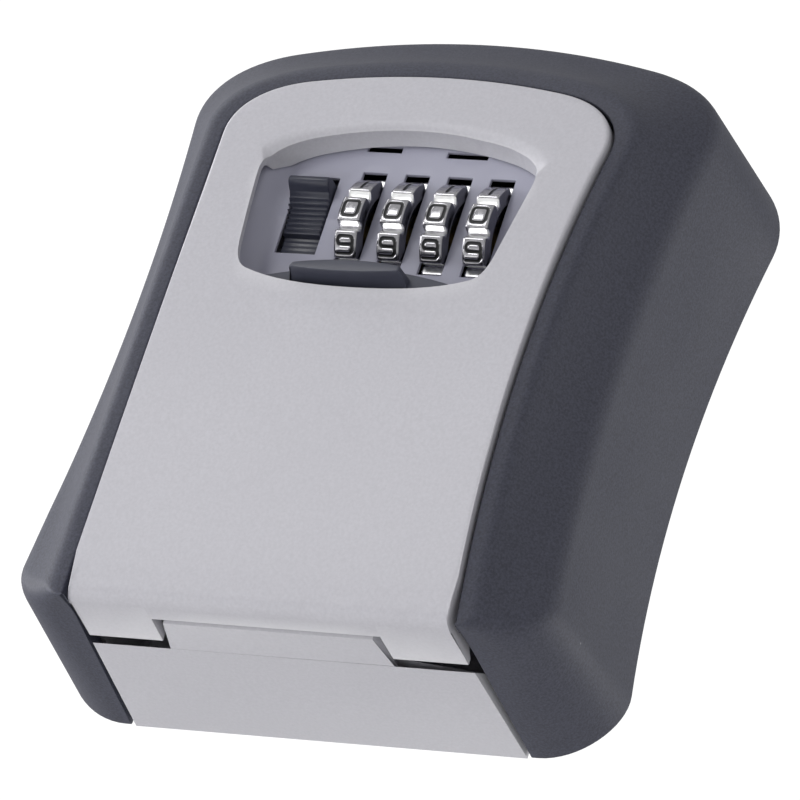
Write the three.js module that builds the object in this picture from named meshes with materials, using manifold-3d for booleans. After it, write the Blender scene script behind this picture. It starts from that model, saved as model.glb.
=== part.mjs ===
// Wall-mounted key cabinet with a four-wheel combination lock, a drop-down door and a sliding dial shutter.
// Millimetres. X to the right, Y towards the wall, Z up. The wall face is y = 0, and the origin is its centre.
import * as THREE from 'three';
import { mergeVertices } from 'three/addons/utils/BufferGeometryUtils.js';
import Module from 'manifold-3d';

const wasm = await Module();
wasm.setup();

// ---------------------------------------------------------------- driving dimensions
const FRONT_Y = -38.9;        // most forward point of the door
const FRONT_Z = -14;          // height of that point
const FRONT_RADIUS = 293;     // the door's front is a cylinder of this radius about an axis along X
const GAP = 0.3;              // clearance between neighbouring pieces

// Waisted outlines, seen from the front: half-width "waist" at height waistZ, sides bowed by radius "bow".
const BASE = {
  waist: 43.7, waistZ: -7.5, bow: 250, low: -56.5, lowCorner: 12,
  shoulder: 35, corner: 14.5, top: 54.5, crown: 218,
};
const RIDGE = {
  waist: 41.6, waistZ: -2.5, bow: 380, low: -54.5, lowCorner: 8,
  shoulder: 38, corner: 13, top: 56.5, crown: 125,
};
const RIM = {
  waist: 33.6, waistZ: -13.5, bow: 560, low: -55, lowCorner: 3,
  shoulder: 31, corner: 14, top: 46.4, crown: 108,
};
const DOOR = {
  waist: 30.4, waistZ: -13.5, bow: 560, low: -55.6, lowCorner: 2.5,
  shoulder: 29.5, corner: 11, top: 43.2, crown: 105,
};

const RIM_SETBACK = 0.9;      // the case's rim lies this far behind the door's front
const RIM_DEPTH = 2.7;
const RIDGE_Y = -26.9;        // the edge between bevel and side wall, at z = 0
const RIDGE_LEAN = 0.0568;    // it comes nearer the wall towards the top
const CASE_WALL = 2.4;
const DOOR_GAP = 0.5;         // gap round the door

const FLOOR_Z = -56.5;        // underside at the wall
const FLOOR_SLOPE = 0.038;    // the underside rises towards the front
const FLOOR_WALL = 2;
const APRON_FRONT = -22.8;
const APRON_HALF_FRONT = 31.6;
const APRON_HALF_BACK = 32.7;
const BACK_WALL = 3;
const TRAY_HALF = 33.2;       // half-width of the key compartment
const TRAY_TOP = 46.4;
const TRAY_WALL = 1.6;
const TRAY_FRONT = -22;
const TRAY_LOW = -51.5;

const HINGE = { y: -25.7, z: -53.1, pin: 1, bore: 1.3, barrel: 1.9 };
const TAB_RADIUS = 4.55;      // the apron's tab curls round the hinge
const TAB_HALF_FRONT = 17;
const TAB_HALF_BACK = 18.7;
const LIP_BACK = -24.9;       // rear edge of the door's lower lip
const NOTCH_HALF = 18.9;      // half-width of the lip's notch for the tab

const DOOR_WALL = 2.2;
const DOOR_FLANGE = 1.8;
const FLANGE_BACK = -29.2;
const TRACK_SKIN = 1;         // door thickness in front of the shutter
const SHUTTER_WALL = 0.8;
const SHUTTER_HALF = 24.5;
const SHUTTER_LOW = -29.2;
const SHUTTER_TRAVEL = 27.4;
const TRACK_HALF = 24.9;
const LIP_FRONT = -40.8;      // front of the shutter's finger lip
const WINDOW_X = -0.4;        // middle of the window

const PANEL_Y = -30.8;        // face of the dial panel
const PANEL_WALL = 1.2;
const PANEL_HALF = 28.1;
const WHEELS = 4;
const WHEEL_X = -6.79;        // middle of the first wheel
const WHEEL_PITCH = 7.16;
const WHEEL_WIDTH = 3.7;
const WHEEL_RADIUS = 9.7;     // over the raised digit pads
const WHEEL_ROOT = 8.3;
const SLOT_HALF = 2.05;       // half-width of a wheel's slot in the panel
const DIGITS = 10;
const AXLE = { y: PANEL_Y - 4 + WHEEL_RADIUS, z: 17.4, radius: 1.5 };
const SLEEVE_RADIUS = 3.2;
const CAM_RADIUS = 4.2;
const CAM_OFFSET = 3;         // the cam's middle, to the right of its wheel's middle
const CAM_WIDTH = 1.6;
const AXLE_ENDS = [-11.8, 21.9];
const CLIP_WIDTH = 0.7;
const LEVER = { x0: -18.94, x1: -12.7, z0: 11.3, z1: 24.75 };
const LATCH = { y0: -28.6, y1: -27, travel: 3.5, top: 43.2 };
const COVER = { half: 24.2, low: -3.5, high: 35.5, front: -29.1, back: -13, wall: 1.4 };
const RESET = { x: 12, z: 2.4, arm: 9, plate: 1.8 };
const SPRING = { x: -17.3, y: -26.4, z0: -0.2, z1: 7.7, radius: 1.9, wire: 0.35, turns: 5 };
const PILOT = 1.1;            // radius of the holes for the small screws

const frontY = (z) => FRONT_Y + (z - FRONT_Z) ** 2 / (2 * FRONT_RADIUS);
const ridgeY = (z) => RIDGE_Y + RIDGE_LEAN * z;
const floorZ = (y) => FLOOR_Z - FLOOR_SLOPE * y;
const wheelX = (i) => WHEEL_X + i * WHEEL_PITCH;

// ---------------------------------------------------------------- solids
function solid(geometry) {
  const bare = geometry.index ? geometry.clone() : geometry;
  bare.deleteAttribute('normal');
  bare.deleteAttribute('uv');
  const merged = mergeVertices(bare, 1e-4);
  return new wasm.Manifold(new wasm.Mesh({
    numProp: 3,
    vertProperties: new Float32Array(merged.attributes.position.array),
    triVerts: new Uint32Array(merged.index.array),
  }));
}

function geometryOf(manifold) {
  const { vertProperties, triVerts, numProp, numVert } = manifold.getMesh();
  const positions = new Float32Array(numVert * 3);
  for (let i = 0; i < numVert; i++) {
    positions.set(vertProperties.subarray(i * numProp, i * numProp + 3), i * 3);
  }
  const geometry = new THREE.BufferGeometry();
  geometry.setAttribute('position', new THREE.BufferAttribute(positions, 3));
  geometry.setIndex(new THREE.BufferAttribute(triVerts, 1));
  geometry.computeVertexNormals();
  return geometry;
}

const vec = (pairs) => pairs.map(([a, b]) => new THREE.Vector2(a, b));

function prism(points, depth) {
  return new THREE.ExtrudeGeometry(new THREE.Shape(points), { depth, bevelEnabled: false });
}

// An outline in X and Z, from y0 to y1.
function slabY(points, y0, y1) {
  return solid(prism(points, y1 - y0).rotateX(Math.PI / 2).translate(0, y1, 0));
}

// A profile in Y and Z, from x0 to x1.
function slabX(points, x0, x1) {
  const cycle = new THREE.Matrix4().set(0, 0, 1, x0, 1, 0, 0, 0, 0, 1, 0, 0, 0, 0, 0, 1);
  return solid(prism(points, x1 - x0).applyMatrix4(cycle));
}

// An outline in X and Y, from z0 to z1.
function slabZ(points, z0, z1) {
  return solid(prism(points, z1 - z0).translate(0, 0, z0));
}

function block([x0, x1], [y0, y1], [z0, z1]) {
  const box = new THREE.BoxGeometry(x1 - x0, y1 - y0, z1 - z0);
  return solid(box.translate((x0 + x1) / 2, (y0 + y1) / 2, (z0 + z1) / 2));
}

function rodX(radius, x0, x1, y, z, sides = 20) {
  const rod = new THREE.CylinderGeometry(radius, radius, x1 - x0, sides).rotateZ(Math.PI / 2);
  return solid(rod.translate((x0 + x1) / 2, y, z));
}

function rodY(radius, y0, y1, x, z, sides = 16) {
  return solid(new THREE.CylinderGeometry(radius, radius, y1 - y0, sides).translate(x, (y0 + y1) / 2, z));
}

function rodZ(radius, z0, z1, x, y, sides = 16) {
  const rod = new THREE.CylinderGeometry(radius, radius, z1 - z0, sides).rotateX(Math.PI / 2);
  return solid(rod.translate(x, y, (z0 + z1) / 2));
}

const joined = (solids) => solids.reduce((all, one) => all.add(one));
const mirrored = (make) => [make(-1), make(1)];

// ---------------------------------------------------------------- outlines
const grown = (o, d) => ({
  ...o, waist: o.waist + d, low: o.low - d, top: o.top + d,
  lowCorner: Math.max(0.5, o.lowCorner + d), corner: Math.max(2, o.corner + d),
});

const halfWidth = (o, z) => o.waist + (z - o.waistZ) ** 2 / (2 * o.bow);

// A corner between two directions, as a cubic curve close to a circular arc.
function cornerPoints(from, out, to, back, steps) {
  const span = new THREE.Vector2().subVectors(to, from);
  const reach = 0.5523;
  const a = from.clone().addScaledVector(out, reach * Math.abs(span.dot(out)));
  const b = to.clone().addScaledVector(back, reach * Math.abs(span.dot(back)));
  return new THREE.CubicBezierCurve(from, a, b, to).getPoints(steps);
}

// The right half of a waisted outline, from the middle of the bottom to the middle of the top.
function rightHalf(o) {
  const sideLow = o.low + o.lowCorner;
  const lowX = halfWidth(o, sideLow);
  const highX = halfWidth(o, o.shoulder);
  const crownX = highX - o.corner;
  const crownZ = (x) => o.top - x * x / (2 * o.crown);
  const leanLow = new THREE.Vector2((sideLow - o.waistZ) / o.bow, 1).normalize();
  const leanHigh = new THREE.Vector2((o.shoulder - o.waistZ) / o.bow, 1).normalize();
  const crownEnd = new THREE.Vector2(crownX, crownZ(crownX));
  const crownBack = new THREE.Vector2(1, -crownX / o.crown).normalize();
  const points = [new THREE.Vector2(0, o.low)];
  points.push(...cornerPoints(
    new THREE.Vector2(lowX - o.lowCorner, o.low), new THREE.Vector2(1, 0),
    new THREE.Vector2(lowX, sideLow), leanLow.negate(), 5,
  ));
  for (let i = 1; i < 10; i++) {
    const z = sideLow + (o.shoulder - sideLow) * i / 10;
    points.push(new THREE.Vector2(halfWidth(o, z), z));
  }
  points.push(...cornerPoints(new THREE.Vector2(highX, o.shoulder), leanHigh, crownEnd, crownBack, 7));
  for (let i = 1; i < 4; i++) {
    const x = crownX * (1 - i / 4);
    points.push(new THREE.Vector2(x, crownZ(x)));
  }
  points.push(new THREE.Vector2(0, o.top));
  return points;
}

function closed(right) {
  const left = right.slice(1, -1).reverse().map((p) => new THREE.Vector2(-p.x, p.y));
  return [...right, ...left];
}

const outline = (o) => closed(rightHalf(o));

// A hollow ring through several outlines, each lying at a depth given by yOf(z).
function loop(stations) {
  const rings = stations.map(({ o, yOf }) => outline(o).map((p) => [p.x, yOf(p.y), p.y]));
  const count = rings[0].length;
  const at = (r, i) => (r % rings.length) * count + (i % count);
  const index = [];
  for (let r = 0; r < rings.length; r++) {
    for (let i = 0; i < count; i++) {
      index.push(at(r, i), at(r + 1, i + 1), at(r, i + 1), at(r, i), at(r + 1, i), at(r + 1, i + 1));
    }
  }
  const geometry = new THREE.BufferGeometry();
  geometry.setAttribute('position', new THREE.Float32BufferAttribute(rings.flat(2), 3));
  geometry.setIndex(index);
  return solid(geometry);
}

// The window in the door, grown outwards by "by".
function windowOutline(by = 0) {
  const side = new THREE.CurvePath();
  const corner = (...v) => side.add(new THREE.CubicBezierCurve(...vec(v)));
  corner([0, 0.5], [8, 0.5], [14, 1.2], [18.5, 3]);
  corner([18.5, 3], [20.6, 3.7], [21.2, 5.5], [21.6, 8]);
  corner([21.6, 8], [22.2, 12.5], [22.8, 17], [23.4, 21.5]);
  corner([23.4, 21.5], [24.2, 26.3], [21.5, 28], [16.5, 29.2]);
  corner([16.5, 29.2], [11, 30.9], [5, 31.7], [0, 31.7]);
  const middle = new THREE.Vector2(0, 16);
  const points = side.getPoints(5);
  const right = points.filter((p, i) => i === 0 || p.distanceTo(points[i - 1]) > 1e-6);
  const scale = new THREE.Vector2(1 + by / 23.4, 1 + by / 15.6);
  const placed = right.map((p) => p.clone().sub(middle).multiply(scale).add(middle));
  return closed(placed).map((p) => new THREE.Vector2(p.x + WINDOW_X, p.y));
}

// Points down the door's front curve, set back by "back".
function frontCurve(zTop, zLow, back, steps = 20) {
  return Array.from({ length: steps + 1 }, (_, i) => {
    const z = zTop + (zLow - zTop) * i / steps;
    return new THREE.Vector2(frontY(z) + back, z);
  });
}

// A curved sheet that follows the door's front, between two set-backs.
function curvedSheet(x0, x1, zLow, zTop, back0, back1, steps = 12) {
  const front = frontCurve(zTop, zLow, back0, steps);
  const rear = frontCurve(zTop, zLow, back1, steps).reverse();
  return slabX([...front, ...rear], x0, x1);
}

function arc(cy, cz, radius, from, to, steps) {
  return Array.from({ length: steps + 1 }, (_, i) => {
    const a = THREE.MathUtils.degToRad(from + (to - from) * i / steps);
    return new THREE.Vector2(cy + radius * Math.cos(a), cz + radius * Math.sin(a));
  });
}

// ---------------------------------------------------------------- fixed pieces
const SHELL_SCREWS = [[-38.3, 42], [38.3, 42], [-38, -45.5], [38, -45.5]];
const WALL_HOLES = [[-20, 34], [20, 34], [-20, -34], [20, -34]];
const STRIKE_SCREWS_X = [-5.5, 5.5];
const STRIKE_SCREW_Y = -15;

function caseShell() {
  const rimY = (z) => frontY(z) + RIM_SETBACK;
  const rimBack = (z) => rimY(z) + RIM_DEPTH;
  const opening = grown(DOOR, DOOR_GAP);
  const body = loop([
    { o: opening, yOf: rimY },
    { o: RIM, yOf: rimY },
    { o: RIDGE, yOf: ridgeY },
    { o: BASE, yOf: () => 0 },
    { o: grown(BASE, -CASE_WALL), yOf: () => 0 },
    { o: grown(RIDGE, -CASE_WALL), yOf: (z) => ridgeY(z) + 1.6 },
    { o: grown(RIM, -0.4), yOf: rimBack },
    { o: opening, yOf: rimBack },
  ]);
  const [front, back] = [APRON_HALF_FRONT + GAP, APRON_HALF_BACK + GAP];
  const mouthPlan = vec([
    [-front, -45], [front, -45], [front, APRON_FRONT], [back, 1], [-back, 1], [-front, APRON_FRONT],
  ]);
  const mouth = slabZ(mouthPlan, -60, -49);
  const posts = SHELL_SCREWS.map(([x, z]) => {
    const start = ridgeY(z) + (z > 0 ? 1 : -1);
    return rodY(2.7, start, -BACK_WALL - GAP, x, z);
  });
  const pilots = SHELL_SCREWS.map(([x, z]) => rodY(1.5, -14, 1, x, z));
  return body.subtract(mouth).add(joined(posts)).subtract(joined(pilots));
}

function innerTray() {
  const back = slabY(outline(grown(BASE, -CASE_WALL - 1.2)), -BACK_WALL, 0);
  const floorProfile = vec([
    [0, FLOOR_Z], [0, FLOOR_Z + 2 * FLOOR_WALL],
    [-BACK_WALL, FLOOR_Z + 2 * FLOOR_WALL], [-BACK_WALL, FLOOR_Z + FLOOR_WALL],
    [APRON_FRONT, floorZ(APRON_FRONT) + FLOOR_WALL], [APRON_FRONT, floorZ(APRON_FRONT)],
  ]);
  const plan = vec([
    [-APRON_HALF_BACK, 0], [-APRON_HALF_FRONT, APRON_FRONT],
    [APRON_HALF_FRONT, APRON_FRONT], [APRON_HALF_BACK, 0],
  ]);
  const floor = slabX(floorProfile, -APRON_HALF_BACK, APRON_HALF_BACK).intersect(slabZ(plan, -60, -50));
  const wallMiddle = TRAY_HALF + TRAY_WALL / 2;
  const walls = mirrored((side) => block(
    [side * wallMiddle - TRAY_WALL / 2, side * wallMiddle + TRAY_WALL / 2],
    [TRAY_FRONT, -1], [TRAY_LOW, TRAY_TOP + TRAY_WALL],
  ));
  const top = block([-TRAY_HALF - 1, TRAY_HALF + 1], [TRAY_FRONT, -1], [TRAY_TOP, TRAY_TOP + TRAY_WALL]);
  const holes = [
    ...WALL_HOLES.map(([x, z]) => rodY(2.4, -BACK_WALL - 1, 1, x, z)),
    ...SHELL_SCREWS.map(([x, z]) => rodY(1.5, -BACK_WALL - 1, 1, x, z)),
    ...SHELL_SCREWS.map(([x, z]) => rodY(2.9, -1.8, 1, x, z)),
    ...STRIKE_SCREWS_X.map((x) => rodZ(1.4, 40, 50, x, STRIKE_SCREW_Y)),
    rodX(HINGE.bore, -35, 35, HINGE.y, HINGE.z),
  ];
  return joined([back, floor, ...walls, top, hingeTab()]).subtract(joined(holes));
}

// The tab at the middle of the apron, curled round the hinge, with its barrel.
function hingeTab() {
  const inner = 2.6;
  const flat = HINGE.z - 0.45;
  const profile = [
    new THREE.Vector2(APRON_FRONT + 1, floorZ(APRON_FRONT)),
    ...arc(HINGE.y, HINGE.z, TAB_RADIUS, -150, -190, 6),
    ...arc(HINGE.y, HINGE.z, inner, 170, 190, 3),
    new THREE.Vector2(APRON_FRONT + 1, flat),
  ];
  const front = HINGE.y - TAB_RADIUS;
  const plan = vec([
    [-TAB_HALF_FRONT, front - 1], [TAB_HALF_FRONT, front - 1],
    [TAB_HALF_BACK, APRON_FRONT + 1], [-TAB_HALF_BACK, APRON_FRONT + 1],
  ]);
  const tab = slabX(profile, -TAB_HALF_BACK, TAB_HALF_BACK).intersect(slabZ(plan, -60, -45));
  return tab.add(rodX(HINGE.barrel, -16.6, 16.6, HINGE.y, HINGE.z));
}

function strikePlate() {
  const flat = block([-9, 9], [-28.5, -8], [TRAY_TOP - GAP - 1.5, TRAY_TOP - GAP]);
  const hook = block([-9, 9], [-28.5, -27], [LATCH.top + 0.4, TRAY_TOP - GAP]);
  const holes = STRIKE_SCREWS_X.map((x) => rodZ(1.4, 40, 50, x, STRIKE_SCREW_Y));
  return flat.add(hook).subtract(joined(holes));
}

// A pan-head screw whose head's underside is at "seat"; "way" is +1 when the head is on the positive side.
function screw({ shank, length, head, headHeight, seat, way }, rod) {
  const [a, b] = way > 0 ? [seat, seat + headHeight] : [seat - headHeight, seat];
  const [c, d] = way > 0 ? [seat - length, seat + 0.1] : [seat - 0.1, seat + length];
  return rod(head, a, b).add(rod(shank, c, d));
}

const shellScrew = ([x, z]) => screw(
  { shank: 1.2, length: 8, head: 2.5, headHeight: 1.2, seat: -1.5, way: 1 }, (r, a, b) => rodY(r, a, b, x, z),
);

const strikeScrew = (x) => screw(
  { shank: 1.1, length: 5, head: 2.2, headHeight: 1.1, seat: TRAY_TOP - 2 * GAP - 1.5, way: -1 },
  (r, a, b) => rodZ(r, a, b, x, STRIKE_SCREW_Y),
);

// ---------------------------------------------------------------- door pieces
const MECHANISM_SCREWS = [[-27, 33], [27, 33], [-26.9, -6], [26.9, -6]];
const GUIDE_SCREWS = [[-26.9, -28.5], [26.9, -28.5]];

function frontDoor() {
  const bendZ = -52.6;
  const lipTop = floorZ(LIP_BACK) + FLOOR_WALL;
  const bend = arc(frontY(bendZ) + 2.6, bendZ, 2.6, 180, 265, 5);
  const outside = slabX([
    ...frontCurve(45, bendZ, 0, 24), ...bend.slice(1),
    new THREE.Vector2(LIP_BACK, floorZ(LIP_BACK)), new THREE.Vector2(LIP_BACK, lipTop),
    new THREE.Vector2(FLANGE_BACK, lipTop), new THREE.Vector2(FLANGE_BACK, 45),
  ], -35, 35).intersect(slabY(outline(DOOR), -45, -20));
  const inside = slabX([
    ...frontCurve(46, lipTop, DOOR_WALL, 24), new THREE.Vector2(-28, lipTop), new THREE.Vector2(-28, 46),
  ], -35, 35).intersect(slabY(outline(grown(DOOR, -DOOR_FLANGE)), -45, -20));
  const windowWall = slabY(windowOutline(2.8), -38, PANEL_Y - GAP).intersect(behindFront(0.5));
  const bosses = [
    ...MECHANISM_SCREWS.map(([x, z]) => rodY(1.9, frontY(z) + 1, PANEL_Y - GAP, x, z)),
    ...GUIDE_SCREWS.map(([x, z]) => rodY(1.9, frontY(z) + 1, frontY(z) + 2.4, x, z)),
  ];
  const track = curvedSheet(-TRACK_HALF, TRACK_HALF, -30.5, 33, TRACK_SKIN, DOOR_WALL + 0.2);
  const smallScrews = [...MECHANISM_SCREWS, ...GUIDE_SCREWS];
  const pilots = smallScrews.map(([x, z]) => rodY(PILOT, frontY(z) + 1.4, -28, x, z));
  const notch = block([-NOTCH_HALF, NOTCH_HALF], [HINGE.y - 5, -20], [-60, lipTop + 0.1]);
  const barrels = mirrored((s) => rodX(HINGE.barrel, s * 25.4 - 2.1, s * 25.4 + 2.1, HINGE.y, HINGE.z));
  return joined([outside.subtract(inside), windowWall, ...bosses])
    .subtract(track)
    .subtract(slabY(windowOutline(), -45, -25))
    .subtract(notch)
    .add(joined(barrels))
    .subtract(rodX(HINGE.bore, -28.7, 28.7, HINGE.y, HINGE.z))
    .subtract(joined(pilots));
}

// Everything behind the door's front by at least "back".
function behindFront(back) {
  const rear = vec([[-20, -50], [-20, 45]]);
  return slabX([...frontCurve(45, -50, back), ...rear], -35, 35);
}

function dialPanel() {
  const low = -9;
  const high = 36.4;
  const corner = 7;
  const shape = {
    waist: PANEL_HALF, waistZ: -13, bow: 2000, low, lowCorner: 2,
    shoulder: high - corner, corner, top: high, crown: 400,
  };
  const face = slabY(outline(shape), PANEL_Y, PANEL_Y + PANEL_WALL);
  const slots = Array.from({ length: WHEELS }, (_, i) => block(
    [wheelX(i) - SLOT_HALF, wheelX(i) + SLOT_HALF], [-40, -20], [AXLE.z - 8.9, AXLE.z + 9.1],
  ));
  const leverSlot = block([LEVER.x0 - GAP, LEVER.x1 + GAP], [-40, -20], [LEVER.z0 - GAP, LEVER.z1 + 0.4]);
  const cheek = (x0, x1) => slabX(vec([
    [PANEL_Y + 1, AXLE.z - 5], [PANEL_Y + 1, AXLE.z + 5], [AXLE.y + 2, AXLE.z + 3.2], [AXLE.y + 3.4, AXLE.z],
    [AXLE.y + 2, AXLE.z - 3.2],
  ]), x0, x1);
  const springLedge = block([-20.5, -12.5], [PANEL_Y + 1, -23.6], [-1.7, -0.5]);
  const bore = rodX(AXLE.radius + GAP, -13, 23, AXLE.y, AXLE.z);
  const holes = MECHANISM_SCREWS.map(([x, z]) => rodY(PILOT, -40, -20, x, z));
  return joined([face, cheek(-10.8, -9.2), cheek(19.1, 20.7), springLedge])
    .subtract(joined([...slots, leverSlot, bore, ...holes]));
}

function numberWheel(i) {
  const x0 = wheelX(i) - WHEEL_WIDTH / 2;
  const half = 360 / DIGITS / 2;
  const tooth = [
    [WHEEL_ROOT, -half * 0.86], [WHEEL_RADIUS - 0.15, -half * 0.66], [WHEEL_RADIUS, 0],
    [WHEEL_RADIUS - 0.15, half * 0.66], [WHEEL_ROOT, half * 0.86],
  ];
  const rim = Array.from({ length: DIGITS }, (_, digit) => tooth.map(([r, offset]) => {
    const a = THREE.MathUtils.degToRad(180 + digit * 2 * half + offset);
    return new THREE.Vector2(AXLE.y + r * Math.cos(a), AXLE.z + r * Math.sin(a));
  })).flat();
  return slabX(rim, x0, x0 + WHEEL_WIDTH)
    .subtract(rodX(SLEEVE_RADIUS + GAP, x0 - 1, x0 + WHEEL_WIDTH + 1, AXLE.y, AXLE.z));
}

function codeCam(i) {
  const sleeve = rodX(SLEEVE_RADIUS, wheelX(i) - 1.9, wheelX(i) + CAM_OFFSET, AXLE.y, AXLE.z);
  const [x0, x1] = [wheelX(i) + CAM_OFFSET - CAM_WIDTH / 2, wheelX(i) + CAM_OFFSET + CAM_WIDTH / 2];
  const cam = rodX(CAM_RADIUS, x0, x1, AXLE.y, AXLE.z);
  const gate = block([x0 - 0.1, x1 + 0.1], [LATCH.y0 - 0.6, LATCH.y1 + 0.4], [AXLE.z + 0.4, AXLE.z + 10]);
  const bore = rodX(AXLE.radius + GAP, x0 - 10, x1 + 1, AXLE.y, AXLE.z);
  return cam.add(sleeve).subtract(gate).subtract(bore);
}

function axleClip(x) {
  const bore = rodX(AXLE.radius + GAP, x - 1, x + 2, AXLE.y, AXLE.z);
  return rodX(2.6, x, x + CLIP_WIDTH, AXLE.y, AXLE.z, 16).subtract(bore);
}

function detentSpring() {
  const strip = block([-9, 18.5], [-18.5, -17.9], [29, 33.4]);
  const fingers = Array.from({ length: WHEELS }, (_, i) => block(
    [wheelX(i) - 1.4, wheelX(i) + 1.4], [-18.5, -17.9], [AXLE.z + 7.5, 30],
  ));
  return strip.add(joined(fingers));
}

function releaseLever() {
  const { x0, x1, z0, z1 } = LEVER;
  const profile = vec([
    [-28.9, z0], [-29.25, z0], [-29.25, z0 + 4], [-30.6, z0 + 7], [-31.4, z0 + 9.6], [-32.9, z0 + 11.2],
    [-33.6, z0 + 12.2], [-33.4, z1 - 0.4], [-32.6, z1], [-28.9, z1],
  ]);
  return slabX(profile, x0, x1);
}

function latchBolt() {
  const { y0, y1, top } = LATCH;
  const column = block([-22.4, -12.2], [y0, y1], [8, 39.5]);
  const bar = block([-22.4, 19], [y0, y1], [36.9, 39.5]);
  const tongue = block([-8, 8], [y0, y1], [39, top]);
  const fingerLow = AXLE.z + CAM_RADIUS + LATCH.travel + GAP;
  const fingers = Array.from({ length: WHEELS }, (_, i) => block(
    [wheelX(i) + CAM_OFFSET - 0.5, wheelX(i) + CAM_OFFSET + 0.5], [y0, y1], [fingerLow, 37.5],
  ));
  return joined([column, bar, tongue, ...fingers]);
}

function latchSpring() {
  const { x, y, z0, z1, radius, wire: thick, turns } = SPRING;
  const margin = 0.4;
  const helix = new THREE.Curve();
  helix.getPoint = (t) => {
    const a = 2 * Math.PI * turns * t;
    const z = z0 + margin + (z1 - z0 - 2 * margin) * t;
    return new THREE.Vector3(x + radius * Math.cos(a), y + radius * Math.sin(a), z);
  };
  const wire = new THREE.Shape(Array.from({ length: 6 }, (_, i) => new THREE.Vector2(
    thick * Math.cos(i * Math.PI / 3), thick * Math.sin(i * Math.PI / 3),
  )));
  const sweep = { steps: turns * 12, extrudePath: helix, bevelEnabled: false };
  return solid(new THREE.ExtrudeGeometry(wire, sweep));
}

function weatherShutter() {
  const back = TRACK_SKIN + 0.25;
  const sheet = curvedSheet(-SHUTTER_HALF, SHUTTER_HALF, SHUTTER_LOW, 7, back, back + SHUTTER_WALL);
  const top = slabY(windowOutline(0.7), -45, -30).translate([0, 0, -SHUTTER_TRAVEL]);
  const lipPlan = vec([[-10.3, LIP_FRONT], [7.7, LIP_FRONT], [8.2, -37], [-11.8, -37]]);
  const lipSection = vec([[LIP_FRONT, 2], [LIP_FRONT, 5], [-37, 5], [-37, 1.3]]);
  const lipTop = slabY(windowOutline(-0.3), -45, -30).translate([0, 0, -SHUTTER_TRAVEL]);
  const lip = slabZ(lipPlan, 0, 6).intersect(slabX(lipSection, -15, 15)).intersect(lipTop);
  const flat = block([-SHUTTER_HALF, SHUTTER_HALF], [-45, -30], [SHUTTER_LOW - 1, -6]);
  return sheet.intersect(top.add(flat)).add(lip);
}

function shutterGuide() {
  const front = TRACK_SKIN + 0.25 + SHUTTER_WALL + 2 * GAP;
  const sheet = curvedSheet(-28, 28, -31.5, -9.8, front, front + 0.8, 8);
  const holes = GUIDE_SCREWS.map(([x, z]) => rodY(PILOT, -45, -30, x, z));
  return sheet.subtract(joined(holes));
}

const guideScrew = ([x, z]) => screw(
  { shank: 0.8, length: 1.9, head: 1.6, headHeight: 0.9, seat: frontY(z) + 3.8, way: 1 },
  (r, a, b) => rodY(r, a, b, x, z, 12),
);

function mechanismCover() {
  const { half, low, high, front, back, wall } = COVER;
  const shell = block([-half, half], [front, back], [low, high])
    .subtract(block([wall - half, half - wall], [front - 1, back - wall], [low + wall, high - wall]));
  const ears = MECHANISM_SCREWS.map(([x, z]) => {
    const [x0, x1] = x < 0 ? [x - 1.3, -half + 0.5] : [half - 0.5, x + 1.3];
    return block([x0, x1], [front, front + 1.4], [z - 2.2, Math.max(z + 2.2, low + 2)]);
  });
  const openings = [
    block([-22.9, 19.5], [front - 1, LATCH.y1 + 0.5], [high - 3, high + 1]),
    ...MECHANISM_SCREWS.map(([x, z]) => rodY(PILOT, front - 1, -20, x, z)),
    rodY(1.8, -20, -10, RESET.x, RESET.z),
  ];
  return joined([shell, ...ears]).subtract(joined(openings));
}

const mechanismScrew = ([x, z]) => screw(
  { shank: 0.8, length: 6, head: 1.7, headHeight: 1, seat: COVER.front + 1.4 + GAP, way: 1 },
  (r, a, b) => rodY(r, a, b, x, z, 12),
);

// The lever on the back of the lock, turned to set a new code, and the bar that it shifts.
function resetLever() {
  const { x, z, arm, plate } = RESET;
  const face = COVER.back + GAP;
  const hub = rodY(3, face, COVER.back + plate, x, z);
  const handle = block([x, x + arm], [face, COVER.back + plate], [z - 1.5, z + 1.5]);
  const knob = rodY(1.9, face, COVER.back + 3.4, x + arm, z);
  const spindle = rodY(1.5, -17, COVER.back + 1, x, z);
  return joined([hub, handle, knob, spindle]);
}

const clutchBar = () => block([-8.5, 17.5], [-19.6, -17.4], [RESET.z - 1.4, RESET.z + 1.4]);

// ---------------------------------------------------------------- assembly
const FINISH = {
  caseDark: { color: 0x3f424c, roughness: 0.72, metalness: 0.15 },
  lightGrey: { color: 0xbdbec3, roughness: 0.5, metalness: 0.15 },
  panelGrey: { color: 0x9496a2, roughness: 0.5, metalness: 0.1 },
  black: { color: 0x26272c, roughness: 0.45, metalness: 0.1 },
  chrome: { color: 0xd8d8da, roughness: 0.16, metalness: 1 },
  steel: { color: 0xa9abae, roughness: 0.35, metalness: 0.9 },
  brass: { color: 0xb08d4a, roughness: 0.4, metalness: 0.9 },
};

const cabinet = new THREE.Group();
const door = new THREE.Group();
const latch = new THREE.Group();
const wheels = new THREE.Group();
door.add(latch, wheels);
cabinet.add(door);

function place(group, name, body, finish) {
  const mesh = new THREE.Mesh(geometryOf(body), new THREE.MeshStandardMaterial(FINISH[finish]));
  mesh.name = name;
  group.add(mesh);
}

place(cabinet, 'case_shell', caseShell(), 'caseDark');
place(cabinet, 'inner_tray', innerTray(), 'lightGrey');
place(cabinet, 'strike_plate', strikePlate(), 'steel');
place(cabinet, 'hinge_pin', rodX(HINGE.pin, -28.3, 28.3, HINGE.y, HINGE.z), 'steel');
SHELL_SCREWS.forEach((at, i) => place(cabinet, `shell_screw_${i + 1}`, shellScrew(at), 'steel'));
STRIKE_SCREWS_X.forEach((x, i) => place(cabinet, `strike_screw_${i + 1}`, strikeScrew(x), 'steel'));

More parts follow.
